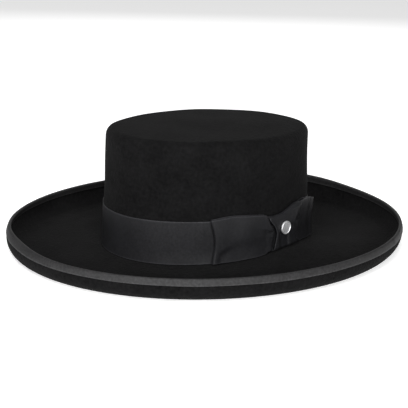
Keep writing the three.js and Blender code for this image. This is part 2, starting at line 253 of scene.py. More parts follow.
class HatSizes(bpy.types.PropertyGroup):
    """Sizes of the hat that a user would change"""

    brim_half_width: bpy.props.FloatProperty(
        name="Brim half width", description="From the brim's centre to its side edge",
        default=shell_high.x, unit="LENGTH", min=0.1)
    brim_half_length: bpy.props.FloatProperty(
        name="Brim half length", description="From the brim's centre to its front edge",
        default=shell_high.y, unit="LENGTH", min=0.1)
    crown_half_width: bpy.props.FloatProperty(
        name="Crown half width", description="Side to side, where the crown meets the brim",
        default=0.086, unit="LENGTH", min=0.05)
    crown_half_length: bpy.props.FloatProperty(
        name="Crown half length", description="Front to back, where the crown meets the brim",
        default=0.102, unit="LENGTH", min=0.05)
    curl_radius: bpy.props.FloatProperty(
        name="Roll radius", description="Outer face of the brim's rolled edge",
        default=0.0141, unit="LENGTH", min=0.005)
    binding_depth: bpy.props.FloatProperty(
        name="Binding depth", description="How far the edge ribbon reaches down each face",
        default=0.0048, unit="LENGTH", min=0.002)
    band_width: bpy.props.FloatProperty(
        name="Band width", description="Width of the ribbon round the crown",
        default=0.0382, unit="LENGTH", min=0.01)
    dents: bpy.props.FloatProperty(
        name="Dents", description="Strength of the felt's soft hollows and waves",
        default=1.0, min=0.0, max=3.0)


class HatColours(bpy.types.PropertyGroup):
    """Colours of the hat's materials"""

    felt: bpy.props.FloatVectorProperty(
        name="Felt", description="Colour of the crown and brim",
        subtype="COLOR", size=3, min=0.0, max=1.0, default=(0.0058, 0.0057, 0.0059))
    band: bpy.props.FloatVectorProperty(
        name="Band and bow ribbon", description="Colour of the ribbon round the crown and of the bow",
        subtype="COLOR", size=3, min=0.0, max=1.0, default=(0.0125, 0.0125, 0.0138))
    edge: bpy.props.FloatVectorProperty(
        name="Edge ribbon", description="Colour of the ribbon that binds the brim",
        subtype="COLOR", size=3, min=0.0, max=1.0, default=(0.0205, 0.0202, 0.0208))
    metal: bpy.props.FloatVectorProperty(
        name="Pin metal", description="Colour of the round pin",
        subtype="COLOR", size=3, min=0.0, max=1.0, default=(0.86, 0.86, 0.87))


class StageLook(bpy.types.PropertyGroup):
    """Floor, light and camera"""

    key_power: bpy.props.FloatProperty(
        name="Key light", description="Power of the soft light from above",
        default=24.0, min=0.0, unit="POWER")
    front_power: bpy.props.FloatProperty(
        name="Front light", description="Power of the two soft lights beside the camera",
        default=37.0, min=0.0, unit="POWER")
    back_power: bpy.props.FloatProperty(
        name="Back light", description="Power of the soft light behind the hat",
        default=9.0, min=0.0, unit="POWER")
    room: bpy.props.FloatProperty(
        name="Room light", description="Strength of the even light from all sides", default=0.12, min=0.0)
    floor: bpy.props.FloatProperty(
        name="Floor brightness", description="How pale the floor is", default=0.9, min=0.0, max=1.0)
    floor_glow: bpy.props.FloatProperty(
        name="Floor glow", description="Light that the floor gives off, as a lit backdrop does",
        default=0.6, min=0.0)
    camera_side: bpy.props.FloatProperty(
        name="Camera side angle", description="From the front of the hat towards the wearer's left",
        default=math.radians(53.0), unit="ROTATION")
    camera_height: bpy.props.FloatProperty(
        name="Camera height angle", description="How far the camera looks down",
        default=math.radians(15.16), unit="ROTATION")


# Shapes


def soft_step(value, low, high):
    """0 below low, 1 above high, and a cubic ease in between."""
    share = np.clip((value - low) / (high - low), 0.0, 1.0)
    return share * share * (3.0 - 2.0 * share)


def bell(value, middle, spread):
    """A smooth hump of height 1: the exponential of minus the squared distance in spreads."""
    return np.exp(-(((value - middle) / spread) ** 2))


def mix(start, end, share):
    """The straight line from start to end."""
    return start + (end - start) * share


def from_table(table, along, column):
    """A column of a table at shares along it: a cubic between its stops. Its slope at a stop is that of a
    parabola through the stop and its two neighbours, and at either end that of a straight line."""
    places, values = np.array(table["along"]), np.array(table[column])
    slopes = np.gradient(values, places)
    along = np.clip(along, 0.0, 1.0)
    before = np.clip(np.searchsorted(places, along) - 1, 0, len(places) - 2)
    span = places[before + 1] - places[before]
    t = (along - places[before]) / span
    rise = values[before] * (1 + 2 * t) * (1 - t) ** 2 + values[before + 1] * t * t * (3 - 2 * t)
    return rise + span * (slopes[before] * t * (1 - t) ** 2 - slopes[before + 1] * t * t * (1 - t))


def waves(kind, around, up, raised=0.0):
    """A sum of a few long cosine waves round and up the hat, with set random places, and raised by a share
    of their depth."""
    depth, seed, count, reach = WAVES[kind]
    pick = np.random.default_rng(seed)
    total = 0.0
    for _ in range(count):
        turns = pick.integers(1, reach + 1)
        rise = pick.uniform(-3.0, 3.0)
        total = total + np.cos(turns * around + rise * up + pick.uniform(0.0, 2 * math.pi))
    return depth * (raised + total / math.sqrt(count))


def full_turn(count):
    """Angles all round, from the front."""
    return np.linspace(0.0, 2 * math.pi, count, endpoint=False)


def half_turn(count):
    """Angles of half a turn without its two ends."""
    return np.linspace(0.0, math.pi, count)[1:-1]


def unit(vectors):
    """Vectors brought to length 1."""
    return vectors / np.maximum(np.linalg.norm(vectors, axis=-1, keepdims=True), 1e-9)


def travelled(steps):
    """The way from the start to each point: the sum of the steps before it."""
    return np.concatenate([[0.0], np.cumsum(steps)])


def way_along(points):
    """The way from the first of a row of points to each of them."""
    return travelled(np.linalg.norm(np.diff(points, axis=0), axis=-1))


def on_oval(angle, half_width, half_length, height, ahead=0.0):
    """Points on an oval: half width times the sine, half length times the cosine, and a height."""
    across = half_width * np.sin(angle)
    forth = -half_length * np.cos(angle) - ahead
    return np.stack(np.broadcast_arrays(across, forth, height), -1)


def bell_round(angle, middle, spread):
    """A bell round the hat: the angle from its middle is brought to within half a turn."""
    return bell((angle - middle + math.pi) % (2 * math.pi) - math.pi, 0.0, spread)


def brim_at(angle):
    """Height of the brim's upper face at the crown: lower at the front and back by a cosine of twice the
    angle, and raised in a bell at each side, behind its middle."""
    rise = bell_round(angle, SIDE_RISE_ANGLE, SIDE_RISE_SPREAD)
    rise = rise + bell_round(angle, -SIDE_RISE_ANGLE, SIDE_RISE_SPREAD)
    return BRIM_LIFT - BRIM_DIP * np.cos(2 * angle) + SIDE_RISE * rise


def crown_point(sizes, angle, outward, height):
    """A point on the crown's oval at the brim, moved out all round."""
    half_width = sizes.crown_half_width / MM + outward
    half_length = sizes.crown_half_length / MM + outward
    return on_oval(angle, half_width, half_length, height, CROWN_FORWARD)


def curl_point(sizes, angle, turn, inset):
    """A point of the rolled edge: a circle of the roll's radius less inset, turned from flat. It is
    stretched upwards by a bell at the back, by a raised cosine on the side away from the camera and by a
    cosine that favours the back. It leans in at the front by a bell times the cube of its height."""
    radius = sizes.curl_radius / MM
    rise = radius * (1 - math.cos(CURL_TURN))
    lift = BACK_LIFT * bell(angle, BACK_LIFT_ANGLE, BACK_LIFT_SPREAD) - CURL_RAKE * np.cos(angle)
    lift = lift + FAR_LIFT * (0.5 + 0.5 * np.cos(angle - FAR_LIFT_ANGLE))
    up = radius - (radius - inset) * np.cos(turn)
    lean = FRONT_LEAN * bell_round(angle, FRONT_LEAN_ANGLE, FRONT_LEAN_SPREAD) * (up / rise) ** 3
    outward = (radius - inset) * np.sin(turn) - radius - lean
    height = (1 + lift / rise) * up
    half_width = sizes.brim_half_width / MM + outward
    half_length = sizes.brim_half_length / MM + outward
    return on_oval(angle, half_width, half_length, height)


def felt_face(sizes, angle, inset, roll_inset):
    """One face of the felt from the middle of the crown's top to the brim's edge: scaled ovals for the flat
    top, a quarter circle for the shoulder, a leaning wall, a small quarter circle at the brim, an eased
    slope for the brim's plate, and an arc for the rolled edge."""
    low = brim_at(angle)
    top = BRIM_LIFT + CROWN_HEIGHT
    rim = CROWN_TAPER * (CROWN_HEIGHT - SHOULDER) + SHOULDER
    share = np.linspace(0.0, 1.0, TOP_RINGS, endpoint=False)[:, None]
    half_width = share * (sizes.crown_half_width / MM - rim)
    half_length = share * (sizes.crown_half_length / MM - rim)
    height = top + TOP_RISE * (1 - share**2) ** 1.6 - inset
    rows = [on_oval(angle, half_width, half_length, height, CROWN_FORWARD)]
    turn = np.linspace(math.pi / 2, 0.0, SHOULDER_RINGS)[:, None]
    outward = (SHOULDER - inset) * np.cos(turn) - rim
    rows.append(crown_point(sizes, angle, outward, top - SHOULDER + (SHOULDER - inset) * np.sin(turn)))
    share = np.linspace(1.0, 0.0, WALL_RINGS)[1:, None]
    height = mix(low + BREAK, top - SHOULDER, share)
    rows.append(crown_point(sizes, angle, -CROWN_TAPER * (height - low) - inset, height))
    turn = np.linspace(0.0, math.pi / 2, BREAK_RINGS)[1:, None]
    outward = BREAK - (BREAK + inset) * np.cos(turn)
    rows.append(crown_point(sizes, angle, outward, low + BREAK - (BREAK + inset) * np.sin(turn)))
    share = np.linspace(0.0, 1.0, PLATE_RINGS)[1:, None]
    roll_room = sizes.curl_radius / MM + FOOT
    half_width = mix(sizes.crown_half_width / MM + BREAK, sizes.brim_half_width / MM - roll_room, share)
    half_length = mix(sizes.crown_half_length / MM + BREAK, sizes.brim_half_length / MM - roll_room, share)
    height = mix(low, FELT, soft_step(share, 0.0, 1.0)) - inset
    rows.append(on_oval(angle, half_width, half_length, height, CROWN_FORWARD * (1 - share)))
    turn = np.linspace(0.0, CURL_TURN, ROLL_RINGS)[:, None]
    rows.append(curl_point(sizes, angle, turn, roll_inset))
    return np.concatenate(rows)


def felt_relief(sizes, face, angle):
    """How far the felt is moved out of its plain form: soft bells and long waves on the flat top, long
    waves up the wall and low waves in the brim, all faded out at the foot and the rolled edge."""
    x, y, z = face[..., 0], face[..., 1], face[..., 2]
    top = BRIM_LIFT + CROWN_HEIGHT
    on_top = soft_step(z, top - SHOULDER, top)
    relief = on_top * waves("top", x / TOP_WAVE_SPAN, y / TOP_WAVE_SPAN)
    for dent_x, dent_y, wide, long, depth in TOP_DENTS:
        relief = relief - depth * on_top * bell(x, dent_x, wide) * bell(y, dent_y, long)
    on_wall = soft_step(z, *WALL_WAVES_FROM) * (1 - on_top)
    relief = relief + on_wall * waves("wall", angle, z / WALL_WAVE_SPAN)
    out = np.hypot(x / (sizes.brim_half_width / MM), y / (sizes.brim_half_length / MM))
    on_brim = soft_step(out, *BRIM_WAVES_FROM) * (1 - soft_step(out, *BRIM_WAVES_TO))
    on_brim = on_brim * (1 - soft_step(z, *BRIM_WAVES_UNDER))
    return sizes.dents * (relief + on_brim * waves("brim", angle, out * BRIM_WAVE_TURNS, 1.0))


def felt_body_rows(sizes):
    """The whole felt skin as closed rings, from the middle of the top down the outer face, round the brim's
    edge and back up the inner face."""
    angle = full_turn(FELT_COLUMNS)
    upper = felt_face(sizes, angle, 0.0, FELT)
    lower = felt_face(sizes, angle, FELT, 0.0)
    shift = unit(upper - lower) * felt_relief(sizes, upper, angle)[..., None]
    return np.concatenate([upper + shift, (lower + shift)[::-1]])


def ribbon_skin(centre, across, closed):
    """A ribbon's skin from its middle surface: the surface moved out and in along its normal, which is the
    cross product of its two directions, and thinned to a round edge at its two selvedges. across is the
    distance from one selvedge at each column."""
    if closed:
        along = np.roll(centre, -1, 0) - np.roll(centre, 1, 0)
    else:
        along = np.gradient(centre, axis=0)
    normal = unit(np.cross(along, np.gradient(centre, axis=1)))
    edge = np.minimum(across, across.max(axis=-1, keepdims=True) - across)
    half = RIBBON / 2
    bulge = half * np.sqrt(np.clip(1 - (1 - np.clip(edge / (1.4 * half), 0.0, 1.0)) ** 2, 0.09, 1.0))
    away = normal * bulge[..., None]
    return np.concatenate([centre + away, (centre - away)[:, ::-1]], axis=1)


def ribbon_uv(centre, across, closed):
    """A ribbon's coordinates in metres: the way along its middle and across it, given again on its back in
    the order in which its skin runs, with one more row where a closed ribbon closes."""
    middle = centre[:, centre.shape[1] // 2]
    if closed:
        middle = np.concatenate([middle, middle[:1]])
    both = np.stack(np.broadcast_arrays(way_along(middle)[:, None], across), -1)
    loop = np.concatenate([both, both[:, ::-1]], axis=1)
    return np.concatenate([loop, loop[:, :1]], axis=1) * MM


def across_shares(width, count):
    """Shares across a ribbon of a width, closer together at its two edges so that those can be round."""
    edge = np.array([0.0, 0.08, 0.2, 0.4]) / width
    return np.concatenate([edge, np.linspace(0.8 / width, 1 - 0.8 / width, count), 1 - edge[::-1]])


def binding_rows(sizes):
    """The edge ribbon from its middle surface: up the roll's outer face, half round the felt's edge and
    down the inner face. Its selvedges wave a little, and where its ends join, one lies over the other."""
    angle = full_turn(RIBBON_COLUMNS)[:, None]
    radius, depth = sizes.curl_radius / MM, sizes.binding_depth / MM
    clear = BINDING_CLEAR + RIBBON / 2
    start = CURL_TURN - depth / radius
    leg = across_shares(depth * 2, 9)
    leg = mix(start, CURL_TURN, leg[leg <= 0.5] * 2)
    swing = half_turn(BINDING_TURN_STOPS)
    reach = radius - FELT / 2 + (FELT / 2 + clear) * np.cos(swing)
    over = (FELT / 2 + clear) * np.sin(swing)
    turn = np.concatenate([leg, CURL_TURN + np.arctan2(over, reach), leg[::-1]])[None, :]
    inset = [0 * leg - clear, radius - np.hypot(reach, over), 0 * leg + FELT + clear]
    inset = np.concatenate(inset)[None, :]
    outside = np.where(inset < FELT / 2, 1.0, -1.0)
    over_join = soft_step(angle, JOIN_ANGLE - JOIN_STEP, JOIN_ANGLE)
    over_join = over_join * (1 - soft_step(angle, JOIN_ANGLE, JOIN_ANGLE + JOIN_FADE))
    inset = inset - outside * JOIN_LIFT * over_join
    pull = waves("binding", angle, 0.0) / radius * bell(turn, start, 0.12)
    centre = curl_point(sizes, angle, turn + pull, inset)
    across = way_along(centre[0])[None, :]
    return ribbon_skin(centre, across, True), ribbon_uv(centre, across, True)


def band_outward(height, width):
    """How far the band's middle stands off the crown's foot: its lower edge flares out by a square, and it
    follows the wall's lean."""
    flare = np.maximum(0.0, 1 - height / (BAND_FLARE_SHARE * width))
    return BAND_OUT + BAND_FLARE * flare**2 - CROWN_TAPER * (BAND_LIFT + height)


def band_rows(sizes):
    """The band from its middle surface: the crown's oval moved out, with a few long waves in it and in its
    lower edge. Behind the bow it is gathered, so that its upper edge stays level where the brim rises."""
    angle = full_turn(RIBBON_COLUMNS)[:, None]
    width = sizes.band_width / MM
    share = across_shares(width, 20)[None, :]
    across = share * width
    ripple = waves("band", angle, share * 2.0) * (1 - bell(share, 0.55, 0.3))
    outward = band_outward(across, width) + np.abs(ripple)
    gather = BAND_GATHER * share * bell_round(angle, SIDE_RISE_ANGLE, SIDE_RISE_SPREAD)
    edge_wave = waves("band_edge", angle, 0.0) * (1 - share)
    centre = crown_point(sizes, angle, outward, brim_at(angle) + BAND_LIFT + across - gather + edge_wave)
    return ribbon_skin(centre, across, True), ribbon_uv(centre, across, True)


def angle_along(sizes, run):
    """The angle that a run along the crown's oval reaches from the bow's middle: the arc length is summed
    in fine steps and read backwards."""
    angle = BOW_ANGLE + np.linspace(-1.4, 1.4, 2801)
    half_width, half_length = sizes.crown_half_width / MM, sizes.crown_half_length / MM
    speed = np.hypot(half_width * np.cos(angle), half_length * np.sin(angle))
    runs = travelled((speed[1:] + speed[:-1]) / 2 * np.diff(angle))
    return np.interp(run, runs - np.interp(BOW_ANGLE, angle, runs), angle)


def over_crown(sizes, run, height, out):
    """A point over the crown's wall: a run along it from the bow's middle, a height and a way out."""
    angle = angle_along(sizes, run)
    width = sizes.band_width / MM
    outward = band_outward(np.maximum(0.0, height - BAND_LIFT), width) - BAND_OUT + out
    return crown_point(sizes, angle, outward, brim_at(angle) + height)


def knot_top(run):
    """Height of the knot's upper edge: level at the front, then an eased rise towards the rear."""
    return KNOT_HIGH + KNOT_RAKE * soft_step(run, *KNOT_RAKE_REACH)


def loop_rows(sizes, loop):
    """A loop of the bow: one ribbon that leaves the knot against the band, turns half round at its fold and
    comes back in front. Its edges follow its table. Its front steps back below a long soft fold, puckers
    towards the knot by waves that grow, leans out towards its upper edge by an ease, and dips before it
    meets the knot, most below and above the knot's waist."""
    length, side, table = loop["length"], loop["side"], loop["edges"]
    knot_edge = 1 - KNOT_HALF / length
    gather_end = knot_edge - GATHER_LEAD / length

    def back_out(along):
        under_knot = soft_step(along, gather_end - UNDER_SHARE, gather_end)
        swell = FOLD_SWELL * bell(along, 0.0, FOLD_SWELL_REACH)
        return mix(LOOP_BACK_FREE, LOOP_BACK_HELD, under_knot) + swell

    def front_out(along):
        return LOOP_FRONT_FREE * from_table(table, along / knot_edge, "stand")

    radius = float(front_out(np.array(0.0)) - back_out(np.array(0.0))) / 2
    fold = radius / length
    swing = half_turn(TURN_STOPS)
    sewn = np.linspace(gather_end, 1 - LOOP_END / length, 16)[1:]
    stops = np.concatenate([np.linspace(fold, gather_end, 60), sewn])
    along = np.concatenate([stops[::-1], fold * (1 - np.sin(swing)), stops])[:, None]
    bend = back_out(0.0) + radius * (1 - np.cos(swing))
    out = np.concatenate([back_out(stops)[::-1], bend, front_out(stops)])[:, None]
    front = np.concatenate([0 * stops, 0.5 - 0.5 * np.cos(swing), 0 * stops + 1])[:, None]
    share = across_shares(BOW_WIDTH, 30)[None, :]

    run = side * length * (1 - along)
    gathered = soft_step(along, gather_end - NARROW_SHARE, gather_end)
    place = np.minimum(along / knot_edge, 1.0)
    low = mix(from_table(table, place, "low") * BOW_WIDTH, KNOT_LOW + EDGE_MARGIN, gathered)
    high = mix(from_table(table, place, "high") * BOW_WIDTH, knot_top(run) - EDGE_MARGIN, gathered)
    height = mix(low, high, share)
    pleat_at = mix(low, high, 0.17 + 0.16 * soft_step(place, 0.0, 0.5) + 0.2 * soft_step(place, 0.8, 1.0))
    held = soft_step(place, 0.03, 0.14) * (1 - soft_step(place, 0.9, 1.0))
    below = 1 - soft_step(height - pleat_at, -1.0 - 3.0 * place, 4.0 + 4.0 * place)
    dent = loop["pleat"] * (PLEAT_DEPTH + bell(place, *PLEAT_AT_FOLD)) * held * below
    ruffle = (np.cos(share * 17.0 + 0.4) + 0.5 * np.sin(share * 31.0)) * bell(share, 0.5, 0.3)
    pucker = PUCKER * soft_step(place, *PUCKER_REACH) * ruffle
    billow = np.sin(math.pi * place) * waves(loop["name"], place * 5.0, share * 2.0)
    loose = out + pucker + billow + loop["lean"] * soft_step(share, 0.4, 1.0) - dent
    knot_share = np.clip((height - KNOT_LOW) / (knot_top(run) - KNOT_LOW), 0.0, 1.0)
    edge = KNOT_HALF * from_table(KNOT, knot_share, "half")
    crevice = 1.4 * bell(share, *CREVICE_LOW) + 1.1 * bell(share, *CREVICE_HIGH)
    edge = edge + CREVICE + crevice - 0.5 * bell(share, *CREVICE_WAIST)
    dip = 1 - soft_step(np.abs(run), edge, edge + CREVICE_EDGE)
    out = mix(out, mix(loose, LOOP_FRONT_HELD, dip), front)
    hollow = side * (FOLD_HOLLOW * np.sin(math.pi * share) ** 1.4 + FOLD_SLANT * (1 - share))
    centre = over_crown(sizes, run - hollow * bell(along, 0.0, FOLD_REACH), height, out)
    return ribbon_skin(centre, share * (high - low), False), ribbon_uv(centre, share * BOW_WIDTH, False)


def knot_rows(sizes):
    """The knot: a ribbon wrapped upright round the bow's middle. Its middle surface runs up the face that
    shows, turns over, goes down against the band and turns under. It is drawn in at its waist, with small
    folds that are cosines across it. Below the waist it has a valley, at the waist a crease and towards the
    rear a raised wing."""
    middle, radius = (KNOT_INNER + KNOT_OUTER) / 2, (KNOT_OUTER - KNOT_INNER) / 2
    turn_room = radius + RIBBON / 2
    up, down = np.linspace(0.0, 1.0, 40), np.linspace(1.0, 0.0, 24)
    turn = half_turn(TURN_STOPS)
    share = np.concatenate([up, 0 * turn + 1, down, 0 * turn])[:, None]
    swing = np.concatenate([0 * up, turn, 0 * down + math.pi, math.pi + turn])[:, None]
    front = np.clip(np.cos(swing), 0.0, 1.0)
    width = KNOT_HALF * 2
    place = across_shares(width, 36)[None, :]
    side = 2 * place - 1
    half = KNOT_HALF * from_table(KNOT, share, "half")
    run = half * side
    height = mix(KNOT_LOW + turn_room, knot_top(run) - turn_room, share) + radius * np.sin(swing)
    waist = bell(share, *WAIST)
    folds = waist * (0.16 * np.cos(side * 8.0 + 0.9) + 0.1 * np.cos(side * 15.0 + 0.4))
    valley = VALLEY * (1 - soft_step(share, *VALLEY_TOP))
    valley = valley * soft_step(run, *VALLEY_FRONT) * (1 - soft_step(run, *VALLEY_REAR))
    crease = CREASE * bell(share, *CREASE_UP) * bell(run, *CREASE_ALONG)
    tuck = TUCK * bell(side, *TUCK_ALONG) * (0.4 + waist)
    wing = WING * soft_step(run, *WING_ALONG) * soft_step(share, *WING_UP)
    out = middle + radius * np.cos(swing) + front * (folds + wing - valley - crease - tuck)
    centre = over_crown(sizes, run, height, out)
    return ribbon_skin(centre, place * half * 2, True), ribbon_uv(centre, place * width, True)


def pin_rows(sizes):
    """The pin: the profile of a disc with a raised, rounded rim, turned round its axis on the knot."""
    inner, bead = PIN_RADIUS - PIN_RIM, np.linspace(0.0, math.pi, 9)
    bead_height = PIN_THICK - BEAD_RISE * (1 - np.sin(bead))
    rim = np.stack([inner + PIN_RIM / 2 * (1 + np.cos(bead)), bead_height], -1)
    dish = np.linspace(inner - 0.1, 0.0, 8)
    floor = np.stack([dish, PIN_THICK - PIN_SUNK + PIN_DOME * (1 - (dish / PIN_RADIUS) ** 2)], -1)
    profile = np.array([[0.0, 0.0], [PIN_RADIUS - PIN_FOOT, 0.0], [PIN_RADIUS, PIN_FOOT], *rim, *floor])
    angle = full_turn(PIN_COLUMNS)
    flat = profile[:, None, :1] * np.stack([np.cos(angle), np.sin(angle)], -1)[None]

    def on_knot(run, out):
        return over_crown(sizes, np.array(run), np.array(PIN_HEIGHT), np.array(KNOT_OUTER + out))

    ahead = unit(on_knot(1 - PIN_AHEAD, 0.0) - on_knot(-PIN_AHEAD, 0.0))
    out = unit(np.cross(ahead, [0.0, 0.0, 1.0]))
    above = np.cross(out, ahead)
    seat = on_knot(-PIN_AHEAD, RIBBON / 2 + 0.05)
    return seat + flat[..., :1] * ahead + flat[..., 1:] * above + profile[:, None, 1:] * out


# Meshes


def add_piece(name, verts, quads, triangles, corner_uv, material, sharp):
    """Makes a mesh object from arrays, its faces turned outwards by the sign of the volume they enclose."""
    fans = np.concatenate([triangles, quads[:, [0, 1, 2]], quads[:, [0, 2, 3]]])
    a, b, c = (verts[fans[:, corner]] for corner in range(3))
    if np.einsum("ij,ij->", a, np.cross(b, c)) < 0:
        quads, triangles = quads[:, ::-1], triangles[:, ::-1]
        corner_uv = None if corner_uv is None else corner_uv[:, ::-1]
    mesh = bpy.data.meshes.new(name)
    mesh.vertices.add(len(verts))
    mesh.vertices.foreach_set("co", (verts * MM).astype(np.float32).ravel())
    loops = np.concatenate([quads.ravel(), triangles.ravel()])
    mesh.loops.add(len(loops))
    mesh.loops.foreach_set("vertex_index", loops.astype(np.int32))
    starts = np.concatenate([np.arange(len(quads)) * 4, len(quads) * 4 + np.arange(len(triangles)) * 3])
    mesh.polygons.add(len(starts))
    mesh.polygons.foreach_set("loop_start", starts.astype(np.int32))
    mesh.update(calc_edges=True)
    if corner_uv is not None:
        layer = mesh.uv_layers.new(name="ribbon")
        filled = np.zeros((len(loops), 2))
        filled[: len(quads) * 4] = corner_uv.reshape(-1, 2)
        layer.data.foreach_set("uv", filled.astype(np.float32).ravel())
    if mesh.validate():
        raise RuntimeError(f"{name} has faces that are not sound")
    mesh.shade_smooth()
    if sharp:
        mesh.set_sharp_from_angle(angle=math.radians(sharp))
    mesh.materials.append(material)
    piece = bpy.data.objects.new(name, mesh)
    bpy.context.scene.collection.objects.link(piece)
    return piece


def ring_piece(name, rows, material, sharp=0, poles=False, closed_rows=False, caps=False, uv=None):
    """A mesh over rings of points: four-sided faces between neighbours, fans of triangles at poles, and a
    ladder of four-sided faces over each open end."""
    if poles:
        ends = rows[0, 0], rows[-1, 0]
        rows = rows[1:-1]
    count, size = rows.shape[:2]
    spans = count if closed_rows else count - 1
    i, j = np.meshgrid(np.arange(spans), np.arange(size), indexing="ij")
    after, beside = (i + 1) % count, (j + 1) % size
    quads = np.stack([i * size + j, i * size + beside, after * size + beside, after * size + j], -1)
    quads = quads.reshape(-1, 4)
    corner_uv = None
    if uv is not None:
        corner_uv = np.stack([uv[i, j], uv[i, j + 1], uv[i + 1, j + 1], uv[i + 1, j]], -2).reshape(-1, 4, 2)
    verts = rows.reshape(-1, 3)
    triangles = np.zeros((0, 3), int)
    if poles:
        verts = np.concatenate([verts, [ends[0]], [ends[1]]])
        j = np.arange(size)
        beside, last = (j + 1) % size, (count - 1) * size
        first_fan = np.stack([0 * j + len(verts) - 2, beside, j], -1)
        last_fan = np.stack([0 * j + len(verts) - 1, last + j, last + beside], -1)
        triangles = np.concatenate([first_fan, last_fan])
    if caps:
        k = np.arange(size // 2 - 1)
        ladder = np.stack([k, k + 1, size - 2 - k, size - 1 - k], -1)
        last = ladder + (count - 1) * size
        quads = np.concatenate([quads, ladder[:, ::-1], last])
        if corner_uv is not None:
            spare = np.zeros((2 * len(k), 4, 2)) + corner_uv[0, 0]
            corner_uv = np.concatenate([corner_uv, spare])
    return add_piece(name, verts, quads, triangles, corner_uv, material, sharp)


def dress(piece, node):
    """Puts a finished piece in place of its CAD node."""
    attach(piece, "root")
    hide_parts(node)


def closed_ribbon(name, node, made, material_name, colour):
    """Makes a ribbon that runs all round the hat, from its skin and coordinates."""
    rows, uv = made
    material = once(bpy.data.materials, material_name, ribbon_material, colour, float(uv[..., 1].max()))
    dress(ring_piece(name, rows, material, closed_rows=True, uv=uv), node)


# Materials


def add_node(tree, kind, inputs, **settings):
    """Adds a shader node with its settings. Each input is given a constant or the socket that feeds it."""
    node = tree.nodes.new(kind)
    for name, value in settings.items():
        setattr(node, name, value)
    for place, value in inputs.items():
        if isinstance(value, bpy.types.NodeSocket):
            tree.links.new(value, node.inputs[place])
        else:
            node.inputs[place].default_value = value
    return node


def calculate(tree, operation, *values):
    """The result of one sum over constants or sockets."""
    return add_node(tree, "ShaderNodeMath", dict(enumerate(values)), operation=operation).outputs[0]


def noise(tree, place, scale, detail, rough):
    """A noise over a place, with so many blobs in a metre and so many finer layers, which are so strong."""
    inputs = {"Vector": place, "Scale": scale, "Detail": detail, "Roughness": rough}
    return add_node(tree, "ShaderNodeTexNoise", inputs).outputs[0]


def stretched(tree, place, scale):
    """A place with its three directions scaled."""
    return add_node(tree, "ShaderNodeMapping", {"Vector": place, "Scale": scale}).outputs[0]


def object_place(tree):
    """Coordinates that stay with the object."""
    return tree.nodes.new("ShaderNodeTexCoord").outputs["Object"]


def once(known, name, make, *values):
    """What already has a name, or else what is made under it."""
    return known.get(name) or make(name, *values)


def new_group(name, inputs, outputs):
    """An empty shader node group. An input without a default is a place, and the others are values."""
    group = bpy.data.node_groups.new(name, "ShaderNodeTree")
    for label, default in inputs.items():
        kind = "NodeSocketVector" if default is None else "NodeSocketFloat"
        socket = group.interface.new_socket(name=label, in_out="INPUT", socket_type=kind)
        if default is not None:
            socket.default_value = default
    for label in outputs:
        group.interface.new_socket(name=label, in_out="OUTPUT", socket_type="NodeSocketFloat")
    return group, group.nodes.new("NodeGroupInput").outputs, group.nodes.new("NodeGroupOutput").inputs


def soft_variation_group(name):
    """Large soft patches and fine specks that make a surface a little lighter and darker, from two noises.
    The sizes are the noises' scales: a higher one gives smaller patches or specks."""
    group, given, out = new_group(name, {
        "Place": None, "Patch size": 25.0, "Patch strength": 0.2,
        "Speck size": 900.0, "Speck strength": 0.3,
    }, ("Shade", "Specks"))
    patches = noise(group, given["Place"], given["Patch size"], 3.0, 0.55)
    specks = noise(group, given["Place"], given["Speck size"], 4.0, 0.6)
    around = calculate(group, "SUBTRACT", patches, 0.5)
    large = calculate(group, "MULTIPLY_ADD", around, given["Patch strength"], 1.0)
    fine = calculate(group, "SUBTRACT", specks, 0.5)
    shade = calculate(group, "MULTIPLY_ADD", fine, given["Speck strength"], large)
    group.links.new(shade, out["Shade"])
    group.links.new(specks, out["Specks"])
    return group


def ribs_group(name):
    """Grosgrain: round ribs across the ribbon, a sine of the distance along it, each rib a little uneven,
    with finer threads along the ribbon over them. Both edges have a narrow, lighter selvedge, with a
    painted highlight along it."""
    group, given, out = new_group(name, {
        "Ribbon place": None, "Ribs in a metre": 1000.0, "Unevenness": 0.25,
        "Ribbon width": 0.04, "Selvedge and highlight": 0.8,
    }, ("Height", "Shade"))
    place = given["Ribbon place"]
    along, across, _ = add_node(group, "ShaderNodeSeparateXYZ", {0: place}).outputs
    drift = noise(group, place, 220.0, 2.0, 0.5)
    turn = calculate(group, "MULTIPLY", along, given["Ribs in a metre"])
    wander = calculate(group, "MULTIPLY_ADD", drift, given["Unevenness"], turn)
    wave = calculate(group, "SINE", calculate(group, "MULTIPLY", wander, 2 * math.pi))
    rib = calculate(group, "MULTIPLY_ADD", wave, 0.5, 0.5)
    threads = noise(group, stretched(group, place, (0.35, 1.0, 1.0)), 2600.0, 2.0, 0.6)
    height = calculate(group, "MULTIPLY_ADD", threads, 0.35, rib)
    tone = calculate(group, "MULTIPLY_ADD", height, 0.35, 0.76)
    rest = calculate(group, "SUBTRACT", given["Ribbon width"], across)
    inward = calculate(group, "MINIMUM", across, rest)
    # Each edge is lightened: partly a lighter woven selvedge, partly a painted highlight along the edge
    selvedge_and_highlight = add_node(group, "ShaderNodeMapRange", {
        "Value": inward, "From Min": 0.0006, "From Max": 0.0013, "To Min": 1.0, "To Max": 0.0}).outputs[0]
    lift = calculate(group, "MULTIPLY_ADD", selvedge_and_highlight, given["Selvedge and highlight"], 1.0)
    group.links.new(height, out["Height"])
    group.links.new(calculate(group, "MULTIPLY", tone, lift), out["Shade"])
    return group


def vary(tree, place, patch_size, patch_strength, speck_size, speck_strength):
    """The shade and the specks of the soft variation over a place."""
    return add_node(tree, "ShaderNodeGroup", {
        "Place": place, "Patch size": patch_size, "Patch strength": patch_strength,
        "Speck size": speck_size, "Speck strength": speck_strength,
    }, node_tree=once(bpy.data.node_groups, "Soft variation", soft_variation_group)).outputs


